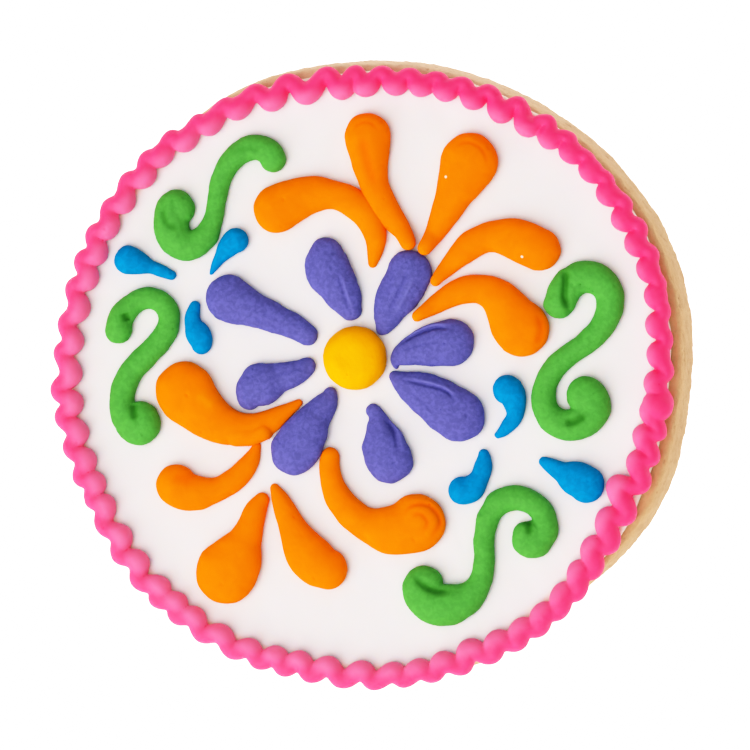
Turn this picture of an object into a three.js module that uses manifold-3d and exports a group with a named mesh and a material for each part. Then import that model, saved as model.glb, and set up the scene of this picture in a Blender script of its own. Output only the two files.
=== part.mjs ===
// Round sugar cookie with a flat white icing top, a piped zigzag border and a piped flower-and-scroll ornament.
// Millimetres, +Z up. The origin is the middle of the underside.
import * as THREE from "three";
import { mergeVertices } from "three/addons/utils/BufferGeometryUtils.js";
import Module from "manifold-3d";

const wasm = await Module();
wasm.setup();

// ---------------------------------------------------------------- driving sizes
const CENTRE_X = -0.32; // middle of the whole outline, in the drawing's frame
const CENTRE_Y = 0.11;

const BISCUIT_T = 8.0; // baked biscuit, thickness
const BISCUIT_FOOT = 0.7; // rounding at the underside's edge
const BISCUIT_TOP_IN = 0.75; // how much smaller the top edge is than the widest line
const ICING_T = 1.5; // flooded white icing, thickness
const ICING_IN = 0.15; // icing edge inside the border's notches

const BORDER_WAVES = 64; // turns of the zigzag
const BORDER_H = 2.4; // height of the border above the icing
const BORDER_NOTCH_OUT = 0.75; // depth of the notches between outer lobes
const BORDER_NOTCH_IN = 1.15; // and between inner lobes
const BORDER_SWING = 0.42; // how far the crest wanders each way
const BORDER_STEPS = 4; // stations in one wave
const BORDER_ROUND = 0.7; // how round the lobes are, 1 for pointed

const CENTRE_DOME = { x: -1.2, y: 2.4, r: 4.5, h: 3.2 };

const BEAD_H_MAX = 2.75; // height a wide stroke tends to
const BEAD_H_SLOPE = 2.35; // half-width at which it gets there
const PETAL_FLAT = 0.86; // petals are pressed flatter than the other strokes
const GAP = 0.3; // air kept between two pieces that meet

// Outlines as a mean radius and harmonics of the angle: [mean, cos, sin, cos 2, sin 2, ...]
const BISCUIT_R = [
  44.6, 0.06, 0.6, 0.44, 0.41, 0.24, 0.19, 0.11, 0.11, -0.05, 0, 0, -0.18, -0.18, 0.04, -0.15, 0.02, -0.02, 0.03, 0.01,
  0.1,
];
const BORDER_OUT = [44.58, -0.55, 0.02, 0.28, 0.33, -0.23, 0.42, -0.23, 0.09, 0.05, 0.07, 0.11, -0.01, -0.07, 0.03];
const BORDER_IN = [40.25, -0.54, -0.04, 0.3, 0.5, -0.21, 0.69, -0.24, 0.23, 0.15, 0.17, 0.17, 0.11, -0.05, 0];
// The zigzag was piped by hand, so its turns run ahead of and behind an even spacing, in degrees
const BORDER_DRIFT = [
  0.64, -0.94, -1.52, 1.1, -0.33, 0.24, 0.51, -0.04, 0.24, 0.19, -0.38, 0.3, -0.02, -0.36, 0.02, -0.09, -0.16, -0.06,
  -0.07, 0.05, 0.22, -0.21, 0.06, 0.03, 0.19, 0.08, 0, -0.15, -0.07,
];
// Lobes that are bigger than their neighbours: [angle in degrees, extra outwards, extra inwards]
const BORDER_LOBES = [
  [183, 0.35, 0],
  [291, 0.1, 0.5],
  [336.5, 0, 0.75],
  [356, 0.3, -0.1],
];

// Piped strokes, each squeezed out along a bending line that starts at the fat end:
// x and y of the start, heading in degrees, length, bends (1/radius) along it, half-widths along it, and
// for a scroll how much of the line is followed before its last curl closes up.
const STROKES = {
  orange: {
    drop_1: [-12.8, 23.3, 27, 21.4, [0.02, -0.13, -0.1, -0.19, -0.04], [3.4, 2.8, 2.1, 2.1, 1.7, 0.7]],
    drop_2: [0.3, 33.5, -86, 16.5, [0, 0.05, 0.1, -0.2], [3.3, 2.7, 2.1, 2.1, 1.7, 1.3]],
    drop_3: [14.9, 29.8, -117, 13.6, [0.01, 0, -0.01, -0.06], [4.1, 3.2, 2.5, 2.1, 1.6, 1.3]],
    drop_4: [24.9, 17.5, 154, 17.5, [-0.01, 0.11, 0.17, 0.01, 0.06], [3, 2.9, 2.2, 2, 1.5, 1]],
    drop_5: [22.3, 6.5, 142, 18.2, [-0.28, 0.19, 0.19, 0.04, -0.02], [4.0, 3.0, 2.2, 1.9, 1.4, 0.8]],
    drop_6: [-26.3, -2.6, -53, 19.4, [0.05, 0.07, 0.16, 0.07, -0.04], [4.3, 3.5, 2.7, 2.1, 1.5, 0.5]],
    drop_7: [-27.5, -16, -46, 15, [0.36, 0.11, 0.11, 0.1, 0.14], [3, 2.5, 1.8, 1.7, 1.4, 0.6]],
    drop_8: [-20.2, -28.3, 47, 11.6, [0.11, 0.05, 0.01, -0.18], [4.5, 3.8, 2.6, 2, 1.8, 1.3]],
    drop_9: [-5.5, -27.6, 165, 13.6, [-0.25, -0.06, 0, 0.02], [2.9, 3.3, 2.6, 1.9, 1.7, 1.4]],
    drop_10: [7.4, -20.9, -155, 19.1, [-0.02, -0.18, -0.09, -0.11, -0.11, -0.1], [4.1, 3.4, 2.4, 2.1, 1.7, 1.4]],
  },
  purple: {
    petal_1: [-19.8, 10.6, -28, 12.5, [0.05, 0.01, -0.03, -0.05], [3.4, 2.6, 2.2, 1.9, 1.5]],
    petal_2: [-5.7, 16.8, -111, 8.7, [0.6, 0.03, -0.02, -0.15], [2.5, 3.3, 3, 2.6, 2.1]],
    petal_3: [6.4, 14.2, -101, 8.3, [-0.23, 0.01, 0.13, -0.54], [3.3, 3.3, 2.6, 2.3, 1.6]],
    petal_4: [12.3, 4.5, -175, 9.4, [0.11, -0.02, 0.06, 0.93], [3.3, 2.9, 2.4, 1.6, 0.4]],
    petal_5: [13.5, -5.9, 152, 11, [-0.13, 0.07, 0.03, -0.29], [3.6, 3.6, 3, 2.1, 1.2]],
    petal_6: [3.4, -12, 124, 7.3, [-0.28, 0.01, -0.09, 0.8], [3.4, 3.1, 2.3, 1.5, 1]],
    petal_7: [-10.3, -10.9, 41, 9.7, [0.23, 0, -0.12, 0.48], [3.5, 3.3, 2.5, 1.8, 1]],
    petal_8: [-16.8, -3.4, 94, 9.8, [-0.82, 0.01, -0.02, 0.26], [1.8, 3, 2.2, 1.9, 1.3]],
  },
  blue: {
    comma_1: [-34.6, 16.1, -10, 6.6, [-0.19, 0.06, -0.09, 0.05], [2.1, 1.6, 1, 0.9, 0.7]],
    comma_2: [-18.8, 18.9, -157, 6.1, [0.43, 0.04, 0.07, -0.03], [1.8, 1.5, 1, 0.7, 0.3]],
    comma_3: [-23.9, 4.2, 86, 5.7, [0.85, 0.02, -0.26, -0.42, 0.28], [1.5, 1.8, 1.3, 1.1, 0.8]],
    comma_4: [20.3, -2.1, -20, 7.8, [-1.01, -0.02, -0.49, 0.05, -0.53], [2.1, 1.7, 1.2, 1, 0.5]],
    comma_5: [13.9, -16.3, -25, 6.6, [1.34, 0.15, 0.24, 0.05, 0.5], [2, 1.8, 1.4, 1.3, 0.8]],
    comma_6: [31.5, -15.3, 136, 6.9, [0.42, -0.08, -0.04, 0.14], [2.6, 2.4, 1.6, 1.2, 0.7]],
  },
  green: {
    scroll_1: [-13.4, 30.4, 111, 30.9, [0.43, 0.3, 0.13, 0.12, 0, -0.13, -0.33, -0.46, 0.1, -4.34], [1.9, 1.7, 1.5, 1.4, 2, 2.6, 2.2], 0.95],
    scroll_2: [-36.1, 6.2, 91, 33.1, [-0.33, -0.13, -0.35, -0.33, -0.12, 0.03, 0.13, 0.16, 0.28, 2.46], [2, 1.6, 1.6, 1.7, 1.8, 2, 2.8], 0.94],
    scroll_3: [27.7, 10.1, 74, 40.8, [-0.1, -0.31, -0.3, -0.14, -0.07, 0.12, 0.16, 0.31, 0.24, 0.77], [2.3, 2.2, 1.8, 1.6, 1.7, 2.2, 2.7], 0.95],
    scroll_4: [9.3, -29.5, 99, 40.5, [1.63, 0.34, 0.17, 0.19, 0.16, -0.02, -0.12, -0.28, -0.2, -0.27, -0.35, -1.85], [1.8, 3, 1.7, 1.5, 1.8, 1.7, 2.1], 0.93],
  },
};
const STATIONS = { orange: 10, purple: 8, blue: 7, green: 27 };
const HEAD_SHARE = { orange: 0.3, purple: 0.4, blue: 0.4, green: 0.1 }; // how much of the line the fat end reaches over
const DISC_SIDES = 64;

const COLOURS = {
  biscuit: [0xd8b07c, 0.85],
  white: [0xf5f3f1, 0.7],
  pink: [0xfd5a9d, 0.6],
  yellow: [0xfec801, 0.6],
  purple: [0x6563bd, 0.7],
  orange: [0xfe9401, 0.6],
  blue: [0x0196dc, 0.6],
  green: [0x6ac652, 0.65],
};

// ---------------------------------------------------------------- helpers
const TURN = Math.PI * 2;
const DEG = Math.PI / 180;
const Z_ICING = BISCUIT_T;
const Z_TOP = BISCUIT_T + ICING_T;

const harmonic = (c, angle) => {
  let sum = c[0];
  for (let k = 1; 2 * k < c.length; k++) sum += c[2 * k - 1] * Math.cos(k * angle) + c[2 * k] * Math.sin(k * angle);
  return sum;
};

// A smooth curve through evenly spaced values, at t from 0 to 1
const smooth = (v, t) => {
  const last = v.length - 1;
  const x = Math.min(Math.max(t, 0), 1) * last;
  const i = Math.min(Math.floor(x), last - 1);
  const f = x - i;
  const b = v[i];
  const c = v[i + 1];
  const a = i > 0 ? v[i - 1] : 2 * b - c;
  const d = i + 2 <= last ? v[i + 2] : 2 * c - b;
  return 0.5 * (2 * b + (c - a) * f + (2 * a - 5 * b + 4 * c - d) * f * f + (3 * b - a - 3 * c + d) * f * f * f);
};
const linear = (v, t) => {
  const x = Math.min(Math.max(t, 0), 1) * (v.length - 1);
  const i = Math.min(Math.floor(x), v.length - 2);
  return v[i] + (v[i + 1] - v[i]) * (x - i);
};

// Moves each vertex of a unit geometry to where place(u, v) says; u = 1 is the same line as u = 0 on a closed one.
const shape = (geometry, place, closedU = true, closedV = false) => {
  const uv = geometry.attributes.uv;
  const position = geometry.attributes.position;
  for (let i = 0; i < uv.count; i++) {
    let u = uv.getX(i);
    let v = uv.getY(i);
    if (closedU && u > 0.999999) u = 0;
    if (closedV && v > 0.999999) v = 0;
    position.setXYZ(i, ...place(u, v));
  }
  return geometry;
};

// A geometry as a closed solid: shared corners merged, collapsed faces dropped, faces turned outwards.
const solid = (geometry) => {
  geometry.deleteAttribute("normal");
  geometry.deleteAttribute("uv");
  const g = mergeVertices(geometry, 1e-4);
  const p = g.attributes.position;
  const keep = [];
  let volume = 0;
  const corner = [new THREE.Vector3(), new THREE.Vector3(), new THREE.Vector3()];
  for (let i = 0; i < g.index.count; i += 3) {
    const t = [g.index.getX(i), g.index.getX(i + 1), g.index.getX(i + 2)];
    if (t[0] === t[1] || t[1] === t[2] || t[2] === t[0]) continue;
    keep.push(...t);
    t.forEach((n, k) => corner[k].fromBufferAttribute(p, n));
    volume += corner[0].dot(corner[1].clone().cross(corner[2])) / 6;
  }
  if (volume < 0) for (let i = 0; i < keep.length; i += 3) [keep[i + 1], keep[i + 2]] = [keep[i + 2], keep[i + 1]];
  return new wasm.Manifold(
    new wasm.Mesh({ numProp: 3, vertProperties: new Float32Array(p.array), triVerts: new Uint32Array(keep) }),
  );
};

const largest = (s) => s.decompose().sort((a, b) => b.volume() - a.volume())[0];

const geometryOf = (s) => {
  const m = s.getMesh();
  return new THREE.BufferGeometry()
    .setAttribute("position", new THREE.BufferAttribute(new Float32Array(m.vertProperties), 3))
    .setIndex(new THREE.BufferAttribute(new Uint32Array(m.triVerts), 1));
};

// ---------------------------------------------------------------- biscuit and icing, turned and pushed out of round
const disc = (profile, radiusAt) =>
  shape(
    new THREE.LatheGeometry(
      profile.map(() => new THREE.Vector2(1, 0)),
      DISC_SIDES,
    ),
    (u, v) => {
      const [inward, z] = profile[Math.round(v * (profile.length - 1))];
      const angle = u * TURN;
      const r = inward === null ? 0 : radiusAt(angle) - inward;
      return [r * Math.cos(angle), r * Math.sin(angle), z];
    },
  );

const biscuit = disc(
  [
    [null, 0],
    [BISCUIT_FOOT, 0],
    [0, BISCUIT_FOOT],
    [0.15, 3.2],
    [BISCUIT_TOP_IN - 0.25, BISCUIT_T - 1.0],
    [BISCUIT_TOP_IN + 0.35, BISCUIT_T],
    [null, BISCUIT_T],
  ],
  (a) => harmonic(BISCUIT_R, a),
);

const icingRadius = (a) =>
  Math.min(harmonic(BORDER_OUT, a) - BORDER_NOTCH_OUT - ICING_IN, harmonic(BISCUIT_R, a) - BISCUIT_TOP_IN - 0.45);
const icing = disc(
  [
    [null, Z_ICING],
    [0.25, Z_ICING],
    [0, Z_ICING + 0.55],
    [0.1, Z_TOP - 0.35],
    [0.6, Z_TOP],
    [null, Z_TOP],
  ],
  icingRadius,
);

// ---------------------------------------------------------------- zigzag border
const around = [0, 45, 90, 135, 180].map((d) => [Math.cos(d * DEG), Math.sin(d * DEG)]);
const border = (grow = 0) => {
  const steps = BORDER_WAVES * BORDER_STEPS;
  return shape(
    new THREE.TorusGeometry(40, 1, around.length + 1, steps),
    (u, v) => {
      const even = u * TURN;
      const phase = ((u * BORDER_WAVES) % 1) * TURN;
      const angle = even + harmonic(BORDER_DRIFT, even) * DEG;
      let out = harmonic(BORDER_OUT, even) - BORDER_NOTCH_OUT * (1 - Math.abs(Math.cos(phase / 2)) ** BORDER_ROUND);
      let inn = harmonic(BORDER_IN, even) + BORDER_NOTCH_IN * (1 - Math.abs(Math.sin(phase / 2)) ** BORDER_ROUND);
      for (const [at, extraOut, extraIn] of BORDER_LOBES) {
        const away = Math.abs(((angle / DEG - at + 540) % 360) - 180) / 2.2;
        if (away < 1) {
          out += extraOut * (1 - away * away);
          inn -= extraIn * (1 - away * away);
        }
      }
      out += grow;
      inn -= grow;
      const crest = (out + inn) / 2 + BORDER_SWING * Math.cos(phase);
      const k = Math.round(v * (around.length + 1));
      let r = (out + inn) / 2;
      let z = Z_TOP - grow;
      if (k < around.length) {
        const [c, s] = around[k];
        r = c >= 0 ? crest + (out - crest) * c : crest - (crest - inn) * -c;
        z = Z_TOP - (s === 0 ? grow : 0) + (BORDER_H + grow) * s;
        if (Math.abs(s) < 1e-9) z = Z_TOP - grow;
      }
      return [r * Math.cos(angle), r * Math.sin(angle), z];
    },
    true,
    true,
  );
};

// ---------------------------------------------------------------- piped strokes
const beadHeight = (w, flat) => flat * BEAD_H_MAX * Math.tanh(w / BEAD_H_SLOPE);

// The bending line of a stroke, with its direction and half-width at each station. Inside the fat end, and at the
// last curl, it bends no tighter than the bead is wide, so that no section runs into its neighbour.
const lineOf = ([x0, y0, heading, length, bends, widths, share = 1], headShare) => {
  const fine = 240;
  const line = [];
  let x = x0;
  let y = y0;
  let angle = heading * DEG;
  for (let i = 0; i <= fine; i++) {
    const t = i / fine;
    line.push({ x, y, angle, t, w: Math.max(smooth(widths, t), 0.2), bend: linear(bends, t) });
    const next = angle + ((linear(bends, t) + linear(bends, (i + 1) / fine)) / 2) * (length / fine);
    const mid = (angle + next) / 2;
    x += Math.cos(mid) * (length / fine);
    y += Math.sin(mid) * (length / fine);
    angle = next;
  }
  const ease = (from, step, stop) => {
    for (let i = from; i !== stop; i += step) {
      const a = line[i];
      const b = line[i + step];
      const most = 0.5 / Math.max(a.w, b.w);
      const bend = Math.min(Math.max((a.bend + b.bend) / 2, -most), most);
      const turn = (step * bend * length) / fine;
      b.angle = a.angle + turn;
      b.x = a.x + (Math.cos(a.angle + turn / 2) * step * length) / fine;
      b.y = a.y + (Math.sin(a.angle + turn / 2) * step * length) / fine;
      b.bend = bend;
    }
  };
  ease(Math.round(headShare * fine), -1, 0);
  ease(Math.round(0.85 * fine), 1, fine);
  return { at: (s) => line[Math.round(Math.min(Math.max(s, 0), 1) * share * fine)], length: length * share };
};

// Stations: a round cap, the line, a round cap. Each is [place on the line, offset beyond its end, size of the section]
const CAP = [90, 55, 25];
const stroke = (spec, stations, headShare, flat, grow = 0) => {
  const line = lineOf(spec, headShare);
  const list = [];
  CAP.forEach((d) => list.push([0, -Math.sin(d * DEG), Math.cos(d * DEG)]));
  for (let i = 0; i < stations; i++) list.push([i / (stations - 1), 0, 1]);
  [...CAP].reverse().forEach((d) => list.push([1, Math.sin(d * DEG), Math.cos(d * DEG)]));
  const rows = list.length - 1;
  return shape(new THREE.SphereGeometry(1, around.length + 1, rows), (u, v) => {
    const [s, beyond, size] = list[Math.round((1 - v) * rows)];
    const p = line.at(s);
    const w = p.w + grow;
    const h = beadHeight(p.w, flat) + grow;
    const cx = p.x + Math.cos(p.angle) * beyond * w;
    const cy = p.y + Math.sin(p.angle) * beyond * w;
    if (size < 1e-9) return [cx, cy, Z_TOP - grow];
    const k = Math.round(u * (around.length + 1)) % (around.length + 1);
    const [c, z] = k < around.length ? around[k] : [0, 0];
    let side = c * w * size;
    if (beyond === 0 && side * p.bend > 0.8) side = 0.8 / p.bend; // keeps the inner side of a tight curl from folding over
    return [
      cx - Math.sin(p.angle) * side,
      cy + Math.cos(p.angle) * side,
      Math.abs(z) < 1e-9 ? Z_TOP - grow : Z_TOP + h * z * size,
    ];
  });
};

const dome = (grow = 0) => {
  const { x, y, r, h } = CENTRE_DOME;
  const profile = [[0, -grow]];
  for (let d = 0; d <= 90; d += 18) profile.push([(r + grow) * Math.cos(d * DEG), (h + grow) * Math.sin(d * DEG) - (d ? 0 : grow)]);
  return shape(
    new THREE.LatheGeometry(
      profile.map(() => new THREE.Vector2(1, 0)),
      20,
    ),
    (u, v) => {
      const k = Math.round(v * (profile.length - 1));
      const rr = k === profile.length - 1 ? 0 : profile[k][0];
      return [x + rr * Math.cos(u * TURN), y + rr * Math.sin(u * TURN), Z_TOP + profile[k][1]];
    },
  );
};

// ---------------------------------------------------------------- assembly
const part = new THREE.Group();
part.position.set(-CENTRE_X, -CENTRE_Y, 0);

const add = (group, name, body, colour) => {
  const [color, roughness] = COLOURS[colour];
  const mesh = new THREE.Mesh(geometryOf(body), new THREE.MeshStandardMaterial({ color, roughness, metalness: 0 }));
  mesh.name = name;
  group.add(mesh);
};

const base = new THREE.Group();
add(base, "biscuit", solid(biscuit), "biscuit");
add(base, "white_icing", solid(icing), "white");
part.add(base);

// Each piped piece is cut back where an earlier one lies over it or touches it.
const piping = new THREE.Group();
const laid = [];
const lay = (name, body, swollen, colour) => {
  let left = body;
  const b = body.boundingBox();
  for (const other of laid) {
    const o = other.boundingBox();
    const apart = [0, 1, 2].some((k) => b.min[k] > o.max[k] || b.max[k] < o.min[k]);
    if (!apart && body.intersect(other).volume() > 1e-4) left = largest(left.subtract(other));
  }
  laid.push(swollen);
  add(piping, name, left, colour);
};
lay("pink_border", solid(border()), solid(border(GAP)), "pink");
lay("yellow_centre", solid(dome()), solid(dome(GAP)), "yellow");
const order = [
  ["purple", ["petal_7", "petal_8", "petal_1", "petal_2", "petal_4", "petal_5", "petal_6"]],
  ["orange", ["drop_2", "drop_3", "drop_4", "drop_5", "drop_6", "drop_1", "drop_7", "drop_9", "drop_8", "drop_10"]],
  ["purple", ["petal_3"]],
  ["green", ["scroll_1", "scroll_2", "scroll_3", "scroll_4"]],
  ["blue", ["comma_1", "comma_2", "comma_3", "comma_4", "comma_5", "comma_6"]],
];
for (const [colour, names] of order) {
  for (const name of names) {
    const spec = STROKES[colour][name];
    const flat = colour === "purple" ? PETAL_FLAT : 1;
    const make = (grow) => solid(stroke(spec, STATIONS[colour], HEAD_SHARE[colour], flat, grow));
    lay(colour + "_" + name, make(0), make(GAP), colour);
  }
}
part.add(piping);

export default part;
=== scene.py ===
"""Iced sugar cookie: a baked biscuit, a flooded white icing, a piped zigzag border, and a piped flower with drops,
commas and scrolls. Shapes are worked out in millimetres in the drawing's frame, then moved by CENTRE and scaled to metres.
"""

import math

import bpy
import numpy as np
import openvdb as vdb
from mathutils import Matrix, Vector


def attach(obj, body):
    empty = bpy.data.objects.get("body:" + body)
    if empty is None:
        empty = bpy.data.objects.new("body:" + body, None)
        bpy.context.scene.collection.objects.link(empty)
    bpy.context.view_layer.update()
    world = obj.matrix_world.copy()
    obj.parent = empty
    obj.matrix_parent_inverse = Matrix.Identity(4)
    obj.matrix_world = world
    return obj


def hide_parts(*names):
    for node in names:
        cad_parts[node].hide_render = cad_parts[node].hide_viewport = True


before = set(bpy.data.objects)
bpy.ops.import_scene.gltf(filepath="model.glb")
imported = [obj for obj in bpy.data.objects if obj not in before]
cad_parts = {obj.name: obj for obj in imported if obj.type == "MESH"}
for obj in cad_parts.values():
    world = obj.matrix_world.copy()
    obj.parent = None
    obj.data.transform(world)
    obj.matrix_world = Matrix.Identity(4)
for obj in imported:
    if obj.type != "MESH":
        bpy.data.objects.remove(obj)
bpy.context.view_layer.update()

TAU = math.tau
MM = 0.001
CENTRE = np.array([-0.32, 0.11, 0.0])  # middle of the whole outline, in the drawing's frame

# ---------------------------------------------------------------- sizes, as in the CAD model
BISCUIT_T = 8.0
BISCUIT_FOOT = 0.7
BISCUIT_TOP_IN = 0.75
ICING_T = 1.5
Z_TOP = BISCUIT_T + ICING_T
SINK = 0.16  # how far the piping sits into the icing

BISCUIT_R = [44.6, 0.06, 0.6, 0.44, 0.41, 0.24, 0.19, 0.11, 0.11, -0.05, 0, 0, -0.18, -0.18, 0.04, -0.15, 0.02, -0.02, 0.03, 0.01, 0.1]
ICING_R = [44.58, -0.55, 0.02, 0.28, 0.33, -0.23, 0.42, -0.23, 0.09, 0.05, 0.07, 0.11, -0.01, -0.07, 0.03]

# ---------------------------------------------------------------- the zigzag border
# 64 turns. Where each outer and inner lobe lies ahead of an even spacing (degrees), and how far out or in it reaches (mm),
# as harmonics of the angle, with the few lobes that stand out added below.
TURNS = 64
AHEAD_OUT = [
    0.44, -0.99, -1.55, 1.05, -0.27, 0.06, 0.56, -0.02, 0.25, 0.27, -0.31, 0.33, 0.08, -0.3, -0.06, -0.19, -0.1, -0.09,
    0.02, 0.08, 0.15, -0.13, 0.11, 0.07, 0.18, 0.09, 0.04, -0.15, -0.01, 0.07, 0.14, 0.15, -0.12, 0, 0.12, -0.01, -0.03,
]
AHEAD_IN = [
    0.83, -0.89, -1.49, 1.15, -0.38, 0.42, 0.47, -0.05, 0.23, 0.1, -0.45, 0.26, -0.12, -0.41, 0.1, 0.02, -0.22, -0.02,
    -0.17, 0.02, 0.28, -0.28, 0.02, -0.02, 0.21, 0.07, -0.05, -0.14, -0.13, 0.09, 0.23, 0.1, -0.06, 0.02, 0, -0.05, -0.06,
]
REACH_OUT = [
    44.58, -0.55, 0.02, 0.28, 0.33, -0.23, 0.42, -0.23, 0.09, 0.05, 0.07, 0.11, -0.01, -0.07, 0.03, 0.02, 0.01, -0.11,
    -0.08, 0.01, -0.03, -0.03, -0.03, 0.04, 0.03, 0.01, -0.05, 0.01, 0.06,
]
REACH_IN = [
    40.25, -0.54, -0.04, 0.3, 0.5, -0.21, 0.69, -0.24, 0.23, 0.15, 0.17, 0.17, 0.11, -0.05, 0, 0.13, -0.03, 0.08, -0.05,
    -0.05, 0.02, -0.15, 0.04, -0.02, 0.02, -0.01, -0.01, -0.05, -0.04,
]
# lobe number: [degrees ahead, mm outwards]
ODD_OUT = {31: [-0.7, 0], 32: [0.53, 0.25], 30: [0.52, 0], 18: [-0.5, 0], 19: [0.43, 0], 10: [-0.41, 0], 22: [0, -0.3], 63: [0, 0.3], 35: [0, 0.27]}
ODD_IN = {17: [-0.6, 0], 16: [0.55, 0], 38: [-0.53, 0], 37: [0.45, 0], 25: [0.41, 0], 41: [-0.39, 0], 59: [0, -0.57], 60: [0, 0.55], 23: [0, 0.49], 51: [0, -0.39], 1: [0, -0.33], 20: [0, 0.32]}
BORDER_H = 2.4
# half-width of the strand at its outer turns, between turns, and at its inner turns
STRAND_LEFT = (1.34, 1.24, 1.66)
STRAND_RIGHT = (1.06, 1.06, 1.66)
STRAND_LOWER = (1.36, 1.32, 1.48)
STRAND_ROPE = (1.5, 1.4, 1.7)

# ---------------------------------------------------------------- the piped strokes
# Each follows a bending line that starts at the fat end: x and y of the start, heading in degrees, length,
# bends (1/radius) along it, half-widths along it.
STROKES = {
    "orange": {
        "drop_1": [-12.8, 23.3, 27, 21.4, [0.02, -0.13, -0.1, -0.19, -0.04], [3.4, 2.8, 2.1, 2.1, 1.7, 0.7]],
        "drop_2": [0.3, 33.5, -86, 16.5, [0, 0.05, 0.1, -0.2], [3.3, 2.7, 2.1, 2.1, 1.6, 1.1]],
        "drop_3": [14.9, 29.8, -117, 13.6, [0.01, 0, -0.01, -0.06], [4.1, 3.3, 2.5, 2.0, 1.45, 1.0]],
        "drop_4": [24.9, 17.5, 154, 17.5, [-0.01, 0.11, 0.17, 0.01, 0.06], [3, 2.9, 2.2, 2, 1.4, 0.8]],
        "drop_5": [22.3, 6.5, 142, 18.2, [-0.28, 0.19, 0.19, 0.04, -0.02], [4.0, 3.0, 2.2, 1.9, 1.4, 0.8]],
        "drop_6": [-26.3, -2.6, -53, 19.4, [0.05, 0.07, 0.16, 0.07, -0.04], [4.3, 3.5, 2.7, 2.1, 1.5, 0.5]],
        "drop_7": [-27.5, -16, -46, 15, [0.36, 0.11, 0.11, 0.1, 0.14], [3, 2.5, 1.8, 1.7, 1.4, 0.6]],
        "drop_8": [-20.2, -28.3, 47, 11.6, [0.11, 0.05, 0.01, -0.18], [4.5, 3.8, 2.6, 2, 1.75, 1.1]],
        "drop_9": [-5.5, -27.6, 165, 14.1, [-0.25, -0.06, 0, 0.02], [2.9, 3.3, 2.6, 1.9, 1.5, 0.7]],
        "drop_10": [7.4, -20.9, -155, 19.1, [-0.02, -0.18, -0.09, -0.11, -0.11, -0.1], [4.1, 3.4, 2.4, 2.1, 1.7, 1.4]],
    },
    "purple": {
        "petal_1": [-19.8, 10.6, -28, 12.5, [0.05, 0.01, -0.03, -0.05], [3.4, 2.6, 2.2, 1.9, 1.5]],
        "petal_2": [-5.7, 16.8, -111, 8.7, [0.6, 0.03, -0.02, -0.15], [2.5, 3.3, 3, 2.5, 1.6]],
        "petal_3": [6.3, 14.3, -106.5, 9.1, [-0.2, 0.01, 0.12, -0.35], [3.2, 3.2, 2.7, 2.0, 0.8]],
        "petal_4": [12.3, 4.5, -175, 9.4, [0.11, -0.02, 0.06, 0.93], [3.3, 2.9, 2.4, 1.6, 0.4]],
        "petal_5": [13.5, -5.9, 152, 11, [-0.13, 0.07, 0.03, -0.2], [3.6, 3.6, 3, 2.1, 0.8]],
        "petal_6": [3.4, -12, 124, 7.3, [-0.28, 0.01, -0.09, 0.8], [3.4, 3.1, 2.3, 1.5, 1]],
        "petal_7": [-10.3, -10.9, 41, 9.7, [0.23, 0, -0.12, 0.48], [3.5, 3.3, 2.5, 1.8, 1]],
        "petal_8": [-16.8, -3.4, 94, 9.8, [-0.82, 0.01, -0.02, 0.26], [1.8, 3, 2.2, 1.9, 1.3]],
    },
    "blue": {
        "comma_1": [-34.6, 16.1, -10, 6.6, [-0.19, 0.06, -0.09, 0.05], [2.1, 1.6, 1, 0.9, 0.7]],
        "comma_2": [-18.8, 18.9, -157, 6.1, [0.43, 0.04, 0.07, -0.03], [1.8, 1.5, 1, 0.7, 0.3]],
        "comma_3": [-23.9, 4.2, 86, 5.7, [0.85, 0.02, -0.26, -0.42, 0.28], [1.5, 1.8, 1.3, 1.1, 0.8]],
        "comma_4": [20.3, -2.1, -20, 7.8, [-1.01, -0.02, -0.49, 0.05, -0.53], [2.1, 1.7, 1.2, 1, 0.5]],
        "comma_5": [13.9, -16.3, -25, 6.6, [1.34, 0.15, 0.24, 0.05, 0.5], [2, 1.8, 1.4, 1.3, 0.8]],
        "comma_6": [31.5, -15.3, 136, 6.9, [0.42, -0.08, -0.04, 0.14], [2.6, 2.4, 1.6, 1.2, 0.7]],
    },
    "green": {
        "scroll_1": [-13.4, 30.4, 111, 30.9, [0.43, 0.3, 0.13, 0.12, 0, -0.13, -0.33, -0.46, 0.1, -4.34], [1.9, 1.7, 1.5, 1.4, 2, 2.6, 2.2]],
        "scroll_2": [-36.1, 6.2, 91, 33.1, [-0.33, -0.13, -0.35, -0.33, -0.12, 0.03, 0.13, 0.16, 0.28, 2.46], [2, 1.6, 1.6, 1.7, 1.8, 2, 2.8]],
        "scroll_3": [27.7, 10.1, 74, 40.8, [-0.1, -0.31, -0.3, -0.14, -0.07, 0.12, 0.16, 0.31, 0.24, 0.77], [2.3, 2.2, 1.8, 1.6, 1.7, 2.2, 2.7]],
        "scroll_4": [9.3, -29.5, 99, 40.5, [1.63, 0.34, 0.17, 0.19, 0.16, -0.02, -0.12, -0.28, -0.2, -0.27, -0.35, -1.85], [1.8, 3, 1.7, 1.5, 1.8, 1.7, 2.1]],
    },
}
BEAD_H_MAX = 2.75
BEAD_H_SLOPE = 2.35
FLAT = {"orange": 1.0, "purple": 0.86, "blue": 1.0, "green": 1.0}
CENTRE_DOME = {"x": -1.5, "y": 2.25, "r": 4.3, "h": 3.2}

# Where one stroke rises over another: place along the line, how high, over what share of the line
RISES = {
    "drop_2": [(1.0, 0.9, 0.12)],
    "drop_3": [(1.0, 1.1, 0.12)],
    "drop_4": [(1.0, 0.7, 0.1)],
    "drop_5": [(1.0, 1.0, 0.12)],
    "petal_7": [(0.25, 0.35, 0.3)],
}
# Icing that ran on beside a stroke's end: x, y, half-width, height at each point of a short bead
FOLDS = {"drop_6": [(-18.6, -8.6, 1.9, 2.2), (-16.4, -8.8, 1.45, 2.1), (-14.7, -8.2, 1.3, 2.2)]}
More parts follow.
